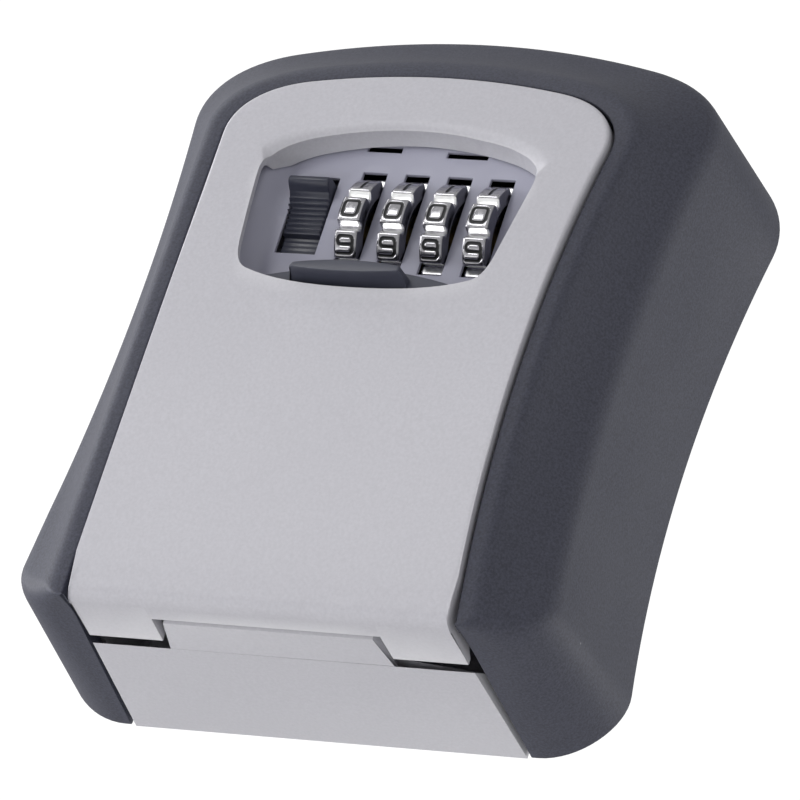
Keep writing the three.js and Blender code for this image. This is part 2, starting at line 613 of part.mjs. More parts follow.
place(door, 'front_door', frontDoor(), 'lightGrey');
place(door, 'dial_panel', dialPanel(), 'panelGrey');
place(door, 'mechanism_cover', mechanismCover(), 'black');
place(door, 'shutter_guide', shutterGuide(), 'steel');
place(door, 'weather_shutter', weatherShutter(), 'black');
place(door, 'detent_spring', detentSpring(), 'steel');
place(door, 'reset_lever', resetLever(), 'black');
place(door, 'clutch_bar', clutchBar(), 'steel');
MECHANISM_SCREWS.forEach((at, i) => {
  place(door, `mechanism_screw_${i + 1}`, mechanismScrew(at), 'steel');
});
GUIDE_SCREWS.forEach((at, i) => place(door, `guide_screw_${i + 1}`, guideScrew(at), 'steel'));

place(latch, 'release_lever', releaseLever(), 'black');
place(latch, 'latch_bolt', latchBolt(), 'steel');
place(latch, 'latch_spring', latchSpring(), 'steel');

place(wheels, 'wheel_axle', rodX(AXLE.radius, ...AXLE_ENDS, AXLE.y, AXLE.z), 'steel');
[AXLE_ENDS[0], AXLE_ENDS[1] - CLIP_WIDTH - 0.1].forEach((x, i) => {
  place(wheels, `axle_clip_${i + 1}`, axleClip(x), 'steel');
});
for (let i = 0; i < WHEELS; i++) {
  place(wheels, `number_wheel_${i + 1}`, numberWheel(i), 'chrome');
  place(wheels, `code_cam_${i + 1}`, codeCam(i), 'brass');
}

export default cabinet;
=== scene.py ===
"""The looks of the key cabinet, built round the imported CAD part.

Lengths are in millimetres and angles in degrees, unless a comment says otherwise.
"""

import math

import bmesh
import bpy
from mathutils import Matrix, Vector


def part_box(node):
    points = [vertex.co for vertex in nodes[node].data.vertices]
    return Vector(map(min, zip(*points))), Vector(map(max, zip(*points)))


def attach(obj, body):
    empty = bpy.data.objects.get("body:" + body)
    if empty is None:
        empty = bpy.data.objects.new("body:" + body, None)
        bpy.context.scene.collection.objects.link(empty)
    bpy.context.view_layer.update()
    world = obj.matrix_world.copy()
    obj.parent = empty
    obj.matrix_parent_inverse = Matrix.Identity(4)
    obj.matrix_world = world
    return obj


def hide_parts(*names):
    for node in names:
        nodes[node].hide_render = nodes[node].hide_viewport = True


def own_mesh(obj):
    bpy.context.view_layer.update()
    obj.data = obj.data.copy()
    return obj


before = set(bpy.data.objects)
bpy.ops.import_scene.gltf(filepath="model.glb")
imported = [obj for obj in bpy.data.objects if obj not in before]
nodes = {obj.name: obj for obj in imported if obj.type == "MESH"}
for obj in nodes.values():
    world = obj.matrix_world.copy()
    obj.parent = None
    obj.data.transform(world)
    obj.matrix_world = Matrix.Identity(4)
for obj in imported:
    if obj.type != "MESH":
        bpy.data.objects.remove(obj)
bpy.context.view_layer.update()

MM = 0.001
# The door's front is part of a large cylinder; these are its foremost line and its radius.
FRONT_Y, FRONT_Z, FRONT_RADIUS = -38.9, -14, 293
# The underside of the apron, which slopes down to the wall.
FLOOR_Z, FLOOR_SLOPE = -56.5, 0.038
WINDOW_X = -0.2
PANEL_Y, PANEL_WALL = -30.8, 0.7
HINGE_Y, HINGE_Z = -25.7, -53.1
AXLE_Y, AXLE_Z = -25.1, 17.4
WHEELS = 4
WHEEL_X, WHEEL_PITCH, WHEEL_HALF = -6.79, 7.16, 1.85
WHEEL_RADIUS, WHEEL_ROOT = 9.7, 8.3
RELEASE_X = (-18.94, -12.7)
RELEASE_Z = (11.3, 24.75)


def front_y(z):
    return FRONT_Y + (z - FRONT_Z) ** 2 / (2 * FRONT_RADIUS)


def ridge_y(z):
    return -26.9 + 0.0568 * z


def floor_z(y):
    return FLOOR_Z - FLOOR_SLOPE * y


# ---------------------------------------------------------------- camera
def make_camera():
    right = Vector((0.90702, 0.31865, 0.27528)).normalized()
    forward = Vector((-0.41684, 0.77207, 0.47974)).normalized()
    right = (right - forward * right.dot(forward)).normalized()
    up = right.cross(forward)
    turn = Matrix((right, up, -forward)).transposed().to_4x4()
    data = bpy.data.cameras.new("camera")
    data.lens = 399.6
    data.sensor_width = 36
    data.clip_start = 0.05
    data.clip_end = 20
    camera = bpy.data.objects.new("camera", data)
    camera.matrix_world = Matrix.Translation(Vector((565.77, -1060.9, -654.17)) * MM) @ turn
    bpy.context.scene.collection.objects.link(camera)
    bpy.context.scene.camera = camera


# ---------------------------------------------------------------- materials
class Nodes:
    """A short way to write a node tree."""

    def __init__(self, name):
        self.material = bpy.data.materials.new(name)
        self.material.use_nodes = True
        self.tree = self.material.node_tree
        self.shader = self.tree.nodes["Principled BSDF"]
        self.place = self.add("ShaderNodeTexCoord").outputs["Object"]

    def add(self, kind, inputs=None, **settings):
        node = self.tree.nodes.new(kind)
        for key, value in settings.items():
            setattr(node, key, value)
        for key, value in (inputs or {}).items():
            self.feed(node.inputs[key], value)
        return node

    def feed(self, socket, value):
        """Links a socket to another, or sets it to a plain value."""
        if isinstance(value, bpy.types.NodeSocket):
            self.tree.links.new(value, socket)
        else:
            socket.default_value = value

    def noise(self, scale, detail=2, roughness=0.5, place=None):
        inputs = {"Vector": place or self.place, "Scale": scale, "Detail": detail, "Roughness": roughness}
        return self.add("ShaderNodeTexNoise", inputs).outputs["Fac"]

    def stretched(self, scale):
        return self.add("ShaderNodeMapping", {"Vector": self.place, "Scale": scale}).outputs["Vector"]

    def between(self, value, low, high, to_low=0.0, to_high=1.0):
        inputs = {"Value": value, "From Min": low, "From Max": high, "To Min": to_low, "To Max": to_high}
        return self.add("ShaderNodeMapRange", inputs).outputs["Result"]

    def mix(self, factor, a, b):
        node = self.add("ShaderNodeMix", data_type="RGBA")
        for index, value in ((0, factor), (6, a), (7, b)):
            self.feed(node.inputs[index], value)
        return node.outputs[2]

    def maths(self, operation, a, b):
        return self.add("ShaderNodeMath", {0: a, 1: b}, operation=operation).outputs[0]

    def bump(self, height, strength, distance, normal=None):
        inputs = {"Height": height, "Strength": strength, "Distance": distance}
        if normal is not None:
            inputs["Normal"] = normal
        return self.add("ShaderNodeBump", inputs).outputs["Normal"]

    def edges(self):
        """Above a half along outer edges, where the powder coat wears and where the satin paint gets a
        painted highlight.
        """
        return self.add("ShaderNodeNewGeometry").outputs["Pointiness"]

    def mark(self, key):
        """A value that the mesh holds under this name."""
        return self.add("ShaderNodeAttribute", attribute_name=key).outputs["Fac"]

    def specks(self, tone, scale, sizes, share, strength, colour):
        """Small dots scattered over a colour; share says how few of the cells hold one."""
        cell = self.add("ShaderNodeTexVoronoi", {"Vector": self.place, "Scale": scale})
        dot = self.between(cell.outputs["Distance"], *sizes, 1.0, 0.0)
        chosen = self.between(cell.outputs["Color"], *share)
        return self.mix(self.maths("MULTIPLY", dot, self.maths("MULTIPLY", chosen, strength)), tone, colour)

    def set(self, **inputs):
        """Links or sets the shader's own sockets."""
        for key, value in inputs.items():
            socket = self.shader.inputs[key.replace("_", " ")]
            if isinstance(value, bpy.types.NodeSocket):
                self.tree.links.new(value, socket)
            else:
                socket.default_value = value


def rgb(r, g, b):
    """A colour given as 0 to 255 sRGB values."""
    def linear(v):
        v /= 255
        return v / 12.92 if v <= 0.04045 else ((v + 0.055) / 1.055) ** 2.4
    return (linear(r), linear(g), linear(b), 1)


def grey(value):
    return (value, value, value, 1)


def scaled(colour, factor):
    """A colour made lighter or darker."""
    return tuple(min(1, factor * c) for c in colour[:3]) + (1,)


def powder_coat(name, low, high):
    """Sandy powder coat: fine grain, a few pale specks, edges rubbed a little lighter."""
    n = Nodes(name)
    grain = n.noise(2600, 3, 0.6)
    fine = n.noise(6000, 1)
    cloud = n.noise(45, 3)
    tone = n.mix(n.between(grain, 0.35, 0.65), low, high)
    rubbed = n.maths("MULTIPLY", n.between(n.edges(), 0.52, 0.6), n.between(cloud, 0.3, 0.75, 0.1, 0.4))
    tone = n.mix(rubbed, tone, scaled(high, 1.7))
    tone = n.specks(tone, 210.0, (0.025, 0.045), (0.78, 0.8), 0.55, rgb(150, 150, 156))
    n.set(Base_Color=tone, Roughness=n.between(cloud, 0.2, 0.8, 0.55, 0.66))
    n.set(Normal=n.bump(fine, 0.25, 0.00004, n.bump(grain, 0.35, 0.00012)))
    return n.material


def satin_paint(name, low, high):
    """Smooth sprayed paint over a cast part: faint mottling, orange peel and a painted highlight along the
    edges.
    """
    n = Nodes(name)
    grain = n.noise(1900, 3, 0.55)
    cloud = n.noise(30, 4)
    peel = n.noise(420, 2)
    tone = n.mix(n.between(grain, 0.3, 0.7), low, high)
    tone = n.mix(n.between(cloud, 0.3, 0.7, 0.0, 0.25), tone, scaled(low, 0.93))
    # Painted highlight: the sharper edges are painted paler.
    tone = n.mix(n.between(n.edges(), 0.53, 0.62, 0.0, 0.55), tone, rgb(236, 236, 239))
    tone = n.specks(tone, 95.0, (0.012, 0.03), (0.83, 0.84), 0.35, rgb(140, 139, 143))
    n.set(Base_Color=tone, Roughness=n.between(grain, 0.3, 0.7, 0.38, 0.47))
    n.set(Normal=n.bump(grain, 0.16, 0.00005, n.bump(peel, 0.08, 0.0001)))
    return n.material


def moulded(name, low, high, rough):
    """Moulded plastic with a fine texture and faint flow marks."""
    n = Nodes(name)
    grain = n.noise(2200, 2)
    flow = n.noise(60, 3, place=n.stretched((1, 1, 0.3)))
    tone = n.mix(n.between(flow, 0.3, 0.7), low, high)
    n.set(Base_Color=tone, Roughness=n.between(flow, 0.2, 0.8, rough - 0.05, rough + 0.07))
    n.set(Normal=n.bump(grain, 0.12, 0.00004))
    return n.material


def metal(name, low, high, rough, brushed=(1, 1, 1)):
    """Bare or plated metal with fine marks along one direction."""
    n = Nodes(name)
    marks = n.noise(700, 3, 0.6, n.stretched(brushed))
    stain = n.noise(120, 2)
    tone = n.mix(n.between(stain, 0.3, 0.75), low, high)
    n.set(Base_Color=tone, Metallic=1.0)
    n.set(Roughness=n.between(marks, 0.25, 0.75, rough * 0.75, rough * 1.35))
    n.set(Normal=n.bump(marks, 0.1, 0.00004))
    return n.material


def plated_digits(name):
    """Chrome plate with black ink in the digits, a painted highlight on the flanks and painted shade on the
    sides, as the mesh's attributes say.
    """
    n = Nodes(name)
    marks = n.noise(900, 3, 0.6)
    black = n.between(n.mark("ink"), 0.42, 0.58)
    plate = n.mix(n.between(marks, 0.3, 0.7), rgb(176, 175, 180), rgb(200, 199, 203))
    # Painted shade: the wheel's sides are painted darker.
    plate = n.mix(n.mark("side"), plate, rgb(112, 112, 118))
    # Painted highlight: the flanks between the pads are painted near white.
    plate = n.mix(n.mark("bare"), plate, rgb(250, 250, 250))
    n.set(Base_Color=n.mix(black, plate, rgb(20, 20, 23)))
    n.set(Metallic=n.between(n.mark("ink"), 0.42, 0.58, 1.0, 0.0))
    polished = n.mix(n.mark("bare"), n.between(marks, 0.3, 0.7, 0.13, 0.24), grey(0.28))
    n.set(Roughness=n.mix(black, polished, grey(0.38)))
    n.set(Normal=n.bump(marks, 0.1, 0.00005))
    return n.material


CASE = powder_coat("case_powder_coat", rgb(51, 52, 64), rgb(67, 69, 83))
GREY = satin_paint("door_satin_paint", rgb(187, 186, 193), rgb(197, 196, 203))
PANEL = moulded("dial_panel_plastic", rgb(164, 164, 181), rgb(172, 172, 188), 0.42)
LEVER = moulded("lever_plastic", rgb(56, 58, 71), rgb(66, 68, 82), 0.3)
SHUTTER = moulded("shutter_plastic", rgb(62, 64, 76), rgb(70, 72, 85), 0.36)
BLACK = moulded("black_plastic", rgb(38, 39, 43), rgb(48, 49, 53), 0.48)
DIGITS = plated_digits("wheel_chrome")
STEEL = metal("zinc_steel", rgb(168, 169, 172), rgb(190, 190, 193), 0.34, (1, 1, 8))
SPRING = metal("spring_steel", rgb(150, 151, 156), rgb(176, 177, 180), 0.28, (6, 1, 1))
SCREW = metal("screw_steel", rgb(176, 176, 178), rgb(204, 204, 205), 0.3)
BRASS = metal("cam_brass", rgb(176, 146, 84), rgb(198, 168, 104), 0.32)


# ---------------------------------------------------------------- curves
ARC_STEPS = 5
QUARTER_ARC = 0.5523  # how far a curve's handles reach along the sides of a quarter circle


def clamped(value):
    return max(0.0, min(1.0, value))


def smooth(value, low, high):
    """Rises smoothly from 0 at low to 1 at high."""
    t = clamped((value - low) / (high - low))
    return t * t * (3 - 2 * t)


def interpolated(line, x):
    """The height of a line of (x, z) points at x."""
    for (x0, z0), (x1, z1) in zip(line, line[1:]):
        if x0 <= x <= x1:
            return z0 + (z1 - z0) * (x - x0) / max(1e-9, x1 - x0)
    return line[-1][1]


def end_round(distance, radius):
    """How far a rounded end has dropped at this distance from it."""
    if distance >= radius:
        return 0.0
    return radius - math.sqrt(max(0.0, radius ** 2 - (radius - max(0.0, distance)) ** 2))


def bezier3(a, b, c, d, steps):
    points = []
    for i in range(steps + 1):
        t = i / steps
        u = 1 - t
        points.append(tuple(
            u ** 3 * p + 3 * u * u * t * q + 3 * u * t * t * r + t ** 3 * s for p, q, r, s in zip(a, b, c, d)
        ))
    return points


def curve3(a, b, c, steps):
    """Points along a curve from a to c that bends towards b."""
    return [a * (1 - t) ** 2 + b * 2 * t * (1 - t) + c * t * t for t in (k / steps for k in range(steps + 1))]


def rounded(path, radii):
    """A line of 3-D points with each inner corner rounded. radii has one radius for each point."""
    points = [Vector(p) for p in path]
    result = [points[0]]
    for i in range(1, len(points) - 1):
        back = points[i - 1] - points[i]
        ahead = points[i + 1] - points[i]
        d = min(radii[i], 0.48 * back.length, 0.48 * ahead.length)
        if d < 1e-3:
            result.extend([points[i]] * (ARC_STEPS + 1))
            continue
        a = points[i] + back.normalized() * d
        c = points[i] + ahead.normalized() * d
        result += curve3(a, points[i], c, ARC_STEPS)
    result.append(points[-1])
    return result


def corner_arc(before, at, after, radius, steps):
    """Points round a corner at "at" between the directions to "before" and "after"."""
    before, at, after = Vector(before), Vector(at), Vector(after)
    a = at + (before - at).normalized() * min(radius, 0.9 * (before - at).length)
    c = at + (after - at).normalized() * min(radius, 0.9 * (after - at).length)
    return curve3(a, at, c, steps)


# ---------------------------------------------------------------- meshes
TUBE_SIDES = 28


def made(name, points, faces, material, body, slot, stands_for=(), sharp=35):
    """A finished piece from points in millimetres."""
    mesh = bpy.data.meshes.new(name)
    mesh.from_pydata([tuple(c * MM for c in p) for p in points], [], faces)
    return finished(name, mesh, material, body, slot, stands_for, sharp)


def finished(name, mesh, material, body, slot, stands_for=(), sharp=35):
    """Cleans a mesh, smooths edges below "sharp" degrees, and makes it a piece that rides on a body."""
    shape = bmesh.new()
    shape.from_mesh(mesh)
    bmesh.ops.remove_doubles(shape, verts=shape.verts, dist=1e-7)
    bmesh.ops.recalc_face_normals(shape, faces=shape.faces)
    shape.to_mesh(mesh)
    shape.free()
    mesh.shade_smooth()
    mesh.set_sharp_from_angle(angle=math.radians(sharp))
    mesh.materials.clear()
    mesh.materials.append(material)
    obj = bpy.data.objects.new(name, mesh)
    bpy.context.scene.collection.objects.link(obj)
    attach(obj, body)
    if stands_for:
        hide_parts(*stands_for)
    return obj


def lofted(rings, around=True, closed=True):
    """Joins rings of equal length; around joins each ring's ends, closed joins the last ring to the first."""
    size = len(rings[0])
    faces = []
    for r in range(len(rings) if closed else len(rings) - 1):
        here, there = r * size, (r + 1) % len(rings) * size
        for i in range(size if around else size - 1):
            j = (i + 1) % size
            faces.append((here + i, here + j, there + j, there + i))
    return [p for ring in rings for p in ring], faces


def end_caps(rings):
    """The faces that close the first and the last of a row of rings."""
    size = len(rings[0])
    last = size * (len(rings) - 1)
    return [tuple(reversed(range(size))), tuple(range(last, last + size))]


def joined_pieces(pieces):
    """The points and faces of several pieces as one."""
    points, faces = [], []
    for more_points, more_faces in pieces:
        faces += [tuple(i + len(points) for i in face) for face in more_faces]
        points += more_points
    return points, faces


def tube(start, end, outer, inner):
    """Points and faces of a short pipe with softened outer edges."""
    start, end = Vector(start), Vector(end)
    axis = (end - start).normalized()
    length = (end - start).length
    across = axis.orthogonal().normalized()
    other = axis.cross(across)
    edge = min(0.25, 0.3 * (outer - inner))
    profile = [
        (inner, 0), (outer - edge, 0), (outer, edge),
        (outer, length - edge), (outer - edge, length), (inner, length),
    ]
    rings = []
    for r, h in profile:
        ring = []
        for k in range(TUBE_SIDES):
            a = 2 * math.pi * k / TUBE_SIDES
            ring.append(start + axis * h + (across * math.cos(a) + other * math.sin(a)) * r)
        rings.append(ring)
    return lofted(rings)


# ---------------------------------------------------------------- outlines
# As in the CAD part. The sides have the half-width "waist" at height waist_z and are bowed by radius "bow".
# At height "low" they end in a corner of radius low_corner. Above height "shoulder" comes a corner of radius
# "corner", and then a crown of radius "crown" with its top at height "top".
BASE = dict(
    waist=43.7, waist_z=-7.5, bow=250,
    low=-56.5, low_corner=12, shoulder=35, corner=14.5, top=54.5, crown=218,
)
RIDGE = dict(
    waist=41.6, waist_z=-2.5, bow=380,
    low=-54.5, low_corner=8, shoulder=38, corner=13, top=56.5, crown=125,
)
RIM = dict(
    waist=33.6, waist_z=-13.5, bow=560,
    low=-55, low_corner=2.2, shoulder=31, corner=14, top=46.4, crown=108,
)
DOOR = dict(
    waist=30.4, waist_z=-13.5, bow=560,
    low=-55.6, low_corner=1.0, shoulder=29.5, corner=11, top=43.2, crown=105,
)
LOW_STEPS, SIDE_STEPS, HIGH_STEPS, CROWN_STEPS = 16, 26, 18, 12


def grown(o, d):
    """An outline moved outwards by d."""
    return dict(
        o, waist=o["waist"] + d, low=o["low"] - d, top=o["top"] + d,
        low_corner=max(0.5, o["low_corner"] + d), corner=max(2, o["corner"] + d),
    )


def half_width(o, z):
    return o["waist"] + (z - o["waist_z"]) ** 2 / (2 * o["bow"])


def corner(start, out, end, back, steps):
    """A rounded corner from start to end. out and back are the unit directions in which it leaves them."""
    span = Vector(end) - Vector(start)
    a = Vector(start) + Vector(out) * (QUARTER_ARC * abs(span.dot(Vector(out))))
    b = Vector(end) + Vector(back) * (QUARTER_ARC * abs(span.dot(Vector(back))))
    return bezier3(start, a, b, end, steps)


def right_half(o, first_x=(0,)):
    """The right half of an outline, from the bottom to the middle of the top.

    first_x holds the points along the bottom.
    """
    side_low = o["low"] + o["low_corner"]
    low_x = half_width(o, side_low)
    high_x = half_width(o, o["shoulder"])
    crown_x = high_x - o["corner"]
    crown_z = o["top"] - crown_x ** 2 / (2 * o["crown"])
    lean_low = Vector(((o["waist_z"] - side_low) / o["bow"], -1)).normalized()
    lean_high = Vector(((o["shoulder"] - o["waist_z"]) / o["bow"], 1)).normalized()
    crown_back = Vector((1, -crown_x / o["crown"])).normalized()
    points = [(x, o["low"]) for x in first_x]
    points += corner((low_x - o["low_corner"], o["low"]), (1, 0), (low_x, side_low), lean_low, LOW_STEPS)
    for i in range(1, SIDE_STEPS):
        z = side_low + (o["shoulder"] - side_low) * i / SIDE_STEPS
        points.append((half_width(o, z), z))
    points += corner((high_x, o["shoulder"]), lean_high, (crown_x, crown_z), crown_back, HIGH_STEPS)
    for i in range(1, CROWN_STEPS + 1):
        x = crown_x * (1 - i / CROWN_STEPS)
        points.append((x, o["top"] - x * x / (2 * o["crown"])))
    return points


def both_halves(right, join_bottom):
    """A right half with its mirror image. join_bottom says that its first point is on the middle line."""
    left = [(-x, *rest) for x, *rest in reversed(right[(1 if join_bottom else 0):-1])]
    return right + left


# ---------------------------------------------------------------- case
CASE_WALL = 2.4
RIM_DEPTH = 2.7
HOLLOW_STEPS = 8
# Half the width of the case's mouth round the apron, in front and at the wall.
MOUTH_FRONT, MOUTH_BACK = 32.2, 33.5
# Below this height the edge between rim and bevel grows softer and the bevel's hollow fades.
SOFT_EDGE_TOP, SOFT_EDGE_HEIGHT = -44, 9
# The screw posts: X, Z, and how far behind the ridge each starts.
CASE_POSTS = ((-38.3, 42, 1), (38.3, 42, 1), (-38, -45.5, -1), (38, -45.5, -1))


def rim_y(z):
    return front_y(z) + 0.9


def case_shell():
    """One shell with a rounded rim, a hollowed bevel and a soft lower edge, open below for the apron."""
    opening = dict(grown(DOOR, 0.5), low=-54.7, low_corner=0.3)
    stations = [
        (opening, lambda z: rim_y(z) + RIM_DEPTH, MOUTH_FRONT + 0.05),
        (opening, rim_y, MOUTH_FRONT + 0.05),
        (RIM, rim_y, MOUTH_FRONT + 0.5),
        (RIDGE, ridge_y, MOUTH_FRONT + 0.3),
        (BASE, lambda z: 0.0, MOUTH_BACK),
        (grown(BASE, -CASE_WALL), lambda z: 0.0, MOUTH_BACK),
        (grown(RIDGE, -CASE_WALL), lambda z: ridge_y(z) + 1.6, MOUTH_FRONT),
        (grown(RIM, -0.4), lambda z: rim_y(z) + RIM_DEPTH, MOUTH_FRONT),
    ]
    halves = [both_halves(right_half(outline, (x,)), False) for outline, _, x in stations]
    columns = []
    for i in range(len(halves[0])):
        path = [(half[i][0], station[1](half[i][1]), half[i][1]) for half, station in zip(halves, stations)]
        rim_z = path[2][2]
        low = clamped((SOFT_EDGE_TOP - rim_z) / SOFT_EDGE_HEIGHT)
        radii = [0.3, 0.35, 1.3 + 3.2 * low, 2.0 + 1.2 * low, 0.6, 0.3, 1.0, 0.2, 0]
        line = rounded(path + [path[0]], radii)
        columns.append(hollowed(line, 2 * (ARC_STEPS + 1), 0.55 * (1 - low)))
    points, faces = lofted(columns, around=False, closed=False)
    count = len(columns[0])
    faces.append(tuple(range(count - 1)))
    faces.append(tuple(len(points) - count + i for i in reversed(range(count - 1))))
    made("case_body", points, faces, CASE, "case", "case_dark", ["case_shell"])
    posts = [tube((x, ridge_y(z) + lead, z), (x, -3.3, z), 2.7, 1.5) for x, z, lead in CASE_POSTS]
    made("case_posts", *joined_pieces(posts), CASE, "case", "case_dark")


def hollowed(line, after, sag):
    """Sinks the straight stretch that follows place "after" in the line into a shallow hollow."""
    a, b = line[after], line[after + 1]
    hollow = []
    for k in range(1, HOLLOW_STEPS):
        t = k / HOLLOW_STEPS
        hollow.append(a.lerp(b, t) + Vector((0, sag * 4 * t * (1 - t), 0)))
    return line[:after + 1] + hollow + line[after + 1:]


# ---------------------------------------------------------------- door
# The right half of the window's edge, from the middle of its bottom to the middle of its top.
WINDOW = [
    ((0, 0.5), (8, 0.5), (14, 1.2), (18.5, 3)),
    ((18.5, 3), (20.3, 3.7), (20.9, 5.5), (21.3, 8)),
    ((21.3, 8), (21.9, 12.5), (22.5, 17), (23.0, 21.5)),
    ((23.0, 21.5), (23.5, 25.6), (20.7, 27.7), (16.5, 29.2)),
    ((16.5, 29.2), (11, 30.9), (5, 31.7), (0, 31.7)),
]
WINDOW_MIDDLE = 16
WINDOW_HALF_WIDTH, WINDOW_HALF_HEIGHT = 23.4, 15.6
DOOR_THICKNESS = 2.2
DOOR_EDGE_BACK = -29.2
# The lip folded back under the door, and the notch in it for the tray's tab.
LIP_TOP, LIP_HALF, DOOR_LIP_BACK = -53.1, 31.3, -24.9
NOTCH_HALF, NOTCH_BACK = 18.95, -30.7
DOOR_BOTTOM_X = (0, 6, 12, 16, 18.85, 19.05, 23, 28)
DOOR_BOSSES = ((-27, 33), (27, 33), (-26.9, -6), (26.9, -6))
FRONT_STEPS, ROLL_STEPS, INSIDE_STEPS = 26, 8, 10


def window_half(by, steps, rise=0):
    """The right half of the window's edge, grown by "by" and raised at the top by "rise".

    steps has a number for each of its five parts.
    """
    points = []
    for part, count in zip(WINDOW, steps):
        points += bezier3(*part, count)[(1 if points else 0):]
    wider, higher = 1 + by / WINDOW_HALF_WIDTH, 1 + by / WINDOW_HALF_HEIGHT
    raised = 1 + rise / WINDOW_HALF_HEIGHT
    half = []
    for x, z in points:
        up = (z - WINDOW_MIDDLE) * higher * (raised if z > WINDOW_MIDDLE else 1)
        half.append((x * wider, WINDOW_MIDDLE + up))
    return half


def window_loop(by, rise=0):
    """The whole edge of the window, with as many points as the door's outline."""
    steps = (len(DOOR_BOTTOM_X), LOW_STEPS, SIDE_STEPS, HIGH_STEPS, CROWN_STEPS)
    right = window_half(by, steps, rise)
    return [(x + WINDOW_X, z) for x, z in both_halves(right, True)]


def front_door():
    """The curved plate with its folded lip and notch, the window's rolled edge and the wall over the dial."""
    outer = both_halves(right_half(DOOR, DOOR_BOTTOM_X), True)
    inner = both_halves(right_half(grown(DOOR, -1.8), DOOR_BOTTOM_X), True)
    edge, shrunk = window_loop(0, 0.45), window_loop(-0.2)
    rolled, wide = window_loop(2.4), window_loop(2.8)
    columns = [door_section(*places) for places in zip(outer, inner, edge, shrunk, rolled, wide)]
    pieces = [lofted(columns)]
    for side in (-1, 1):
        x0, x1 = sorted((side * 23.3, side * 27.5))
        pieces.append(tube((x0, HINGE_Y, HINGE_Z), (x1, HINGE_Y, HINGE_Z), 1.9, 1.3))
    for x, z in DOOR_BOSSES:
        pieces.append(tube((x, front_y(z) + 1.6, z), (x, PANEL_Y - 0.3, z), 1.9, 0.9))
    return made("door_plate", *joined_pieces(pieces), GREY, "door", "light_grey", ["front_door"], 40)


def door_section(outer, inner, edge, shrunk, rolled, wide):
    """One section of the door: its outer edge, the front, the window's edge, and back along the inside."""
    (ox, oz), (ix, iz), (wx, wz), (gx, gz) = outer, inner, edge, wide
    if oz < -50:
        ox = math.copysign(min(abs(ox), LIP_HALF), ox)
    low = clamped((LIP_TOP - oz) / 2.4)
    back = DOOR_EDGE_BACK
    if low > 0:
        reach = DOOR_LIP_BACK if abs(ox) > NOTCH_HALF else NOTCH_BACK
        back += (reach - back) * (1 if low > 0.3 else low / 0.3)
    front_low = floor_z(front_y(oz)) if low > 0.99 else oz
    back_low = floor_z(back) if low > 0.99 else oz
    high = smooth(wz, 23.8, 26.0)
    sx, sz = (e + (s - e) * high for e, s in zip(edge, shrunk))
    rx, rz = (e + (r - e) * high for e, r in zip(edge, rolled))
    sink = 0.8 * high
    fillet = 0.7 + 1.9 * low
    skin_y = front_y(wz) + 1.0
    wall_foot = PANEL_Y - 0.35 - ramp(abs(wx - WINDOW_X))
    wall_back = skin_y + (wall_foot - skin_y) * smooth(wz, 23.9, 24.7)
    inner_z = max(iz, floor_z(DOOR_LIP_BACK) + 2) if low > 0 else iz
    plate_back = front_y(inner_z) + DOOR_THICKNESS
    lowest = (ox, back, back_low)
    section = [Vector(lowest)]
    section += corner_arc(lowest, (ox, front_y(front_low), front_low), (rx, front_y(rz), rz), fillet, 8)
    section += front_run((ox, front_low), (rx, rz), fillet, 0.3 + 1.2 * (1 - high))
    for k in range(1, ROLL_STEPS + 1):
        t = k / ROLL_STEPS
        x, z = rx + (wx - rx) * t, rz + (wz - rz) * t
        section.append(Vector((x, front_y(z) + sink * t * t, z)))
    crease = (wx, front_y(wz) + sink, wz)
    section += corner_arc((rx, front_y(rz), rz), crease, (sx, wall_back, sz), 0.85 - 0.65 * high, 6)
    section += [Vector((sx, wall_back, sz)), Vector((gx, wall_back, gz))]
    for k in range(INSIDE_STEPS):
        t = k / INSIDE_STEPS
        x, z = gx + (ix - gx) * t, gz + (inner_z - gz) * t
        section.append(Vector((x, front_y(z) + DOOR_THICKNESS, z)))
    section += [Vector((ix, plate_back, inner_z)), Vector((ix, max(back, plate_back), inner_z))]
    return section


def front_run(start, end, skip_start, skip_end):
    """Points across the curved front between two places, short of the rounded edges at both ends."""
    start, end = Vector(start), Vector(end)
    length = (end - start).length
    a, b = skip_start / length, 1 - skip_end / length
    points = []
    for k in range(1, FRONT_STEPS):
        p = start.lerp(end, a + (b - a) * k / FRONT_STEPS)
        points.append(Vector((p.x, front_y(p.y), p.y)))
    return points


# ---------------------------------------------------------------- dial panel
# The panel comes forward by RAMP_HEIGHT over RAMP_REACH, at both sides of the window.
RAMP_START, RAMP_REACH, RAMP_HEIGHT = 20.6, 3.6, 3.1
WHEEL_SLOT_HALF = 2.05
TOP_SLOTS = [(-9.4, -3.6, 30.35, 31.5), (4.1, 11.0, 29.9, 31.0)]
PANEL_LINES_X = [-24.4, -20.8, 20.0, 23.6, -28.1, 28.1]
PANEL_LINES_Z = [-9, 36.4]
PANEL_CREASE = [17.2, 17.5, 17.8]


def ramp(distance):
    """How far the panel comes forward at this distance from the window's middle."""
    return RAMP_HEIGHT * smooth(distance, RAMP_START, RAMP_START + RAMP_REACH)


def grid_lines(edges, step):
    """Grid lines that keep the given edges, no further apart than step."""
    edges = sorted(set(round(e, 4) for e in edges))
    lines = [edges[0]]
    for a, b in zip(edges, edges[1:]):
        count = max(1, math.ceil((b - a) / step))
        lines += [a + (b - a) * k / count for k in range(1, count + 1)]
    return lines


